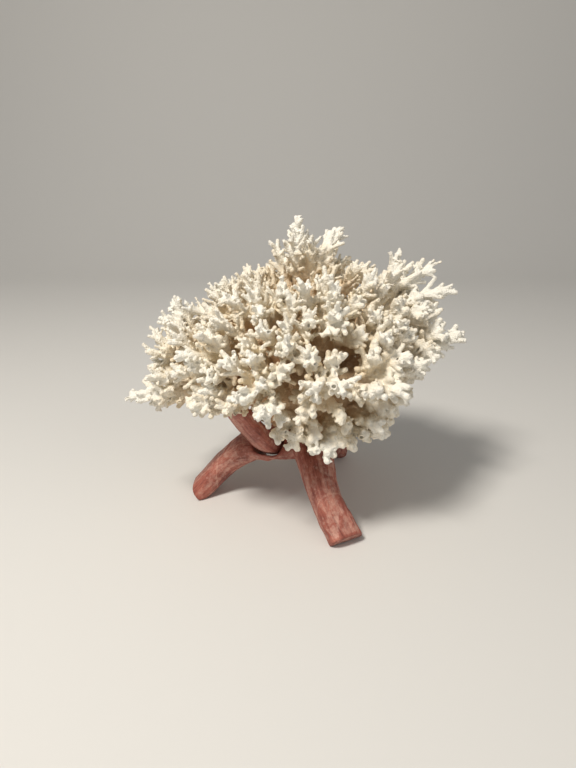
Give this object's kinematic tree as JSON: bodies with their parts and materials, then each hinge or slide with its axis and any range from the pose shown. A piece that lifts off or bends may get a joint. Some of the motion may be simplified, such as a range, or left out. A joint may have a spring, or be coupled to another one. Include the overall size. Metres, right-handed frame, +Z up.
{
  "type": "branching coral on a wooden stand",
  "caption": "Domed cluster of bleached branching coral with clustered finger tips, resting on the arms of a carved interlocking wooden tripod stand.",
  "frame": {"origin": "middle of the bounding box, on the surface that the stand's feet rest on", "axes": "+Z up; +X along the coral's longest spread, to the right when seen from the front; +Y from front to back"},
  "size_m": [0.251, 0.1862, 0.2336],
  "materials": {
    "coral": "matte",
    "wood": "satin"
  },
  "bodies": {
    "root": {"leg_left": "wood", "leg_front": "wood", "leg_back": "wood", "coral_base": "coral", "branch_left_low": "coral", "branch_front_left_low": "coral", "branch_front_low": "coral", "branch_front_right_low": "coral", "branch_right_front_low": "coral", "branch_right_low": "coral", "branch_right_back_low": "coral", "branch_back_right_low": "coral", "branch_back_low": "coral", "branch_back_left_low": "coral", "branch_left": "coral", "branch_front_left": "coral", "branch_front": "coral", "branch_front_right": "coral", "branch_right_front": "coral", "branch_right": "coral", "branch_back_right": "coral", "branch_back": "coral", "branch_back_left": "coral", "branch_upper_left": "coral", "branch_upper_front_left": "coral", "branch_upper_front": "coral", "branch_upper_front_right": "coral", "branch_upper_right_front": "coral", "branch_upper_right": "coral", "branch_upper_back_right": "coral", "branch_upper_back": "coral", "branch_upper_back_left": "coral", "branch_top": "coral"}
  },
  "joints": []
}
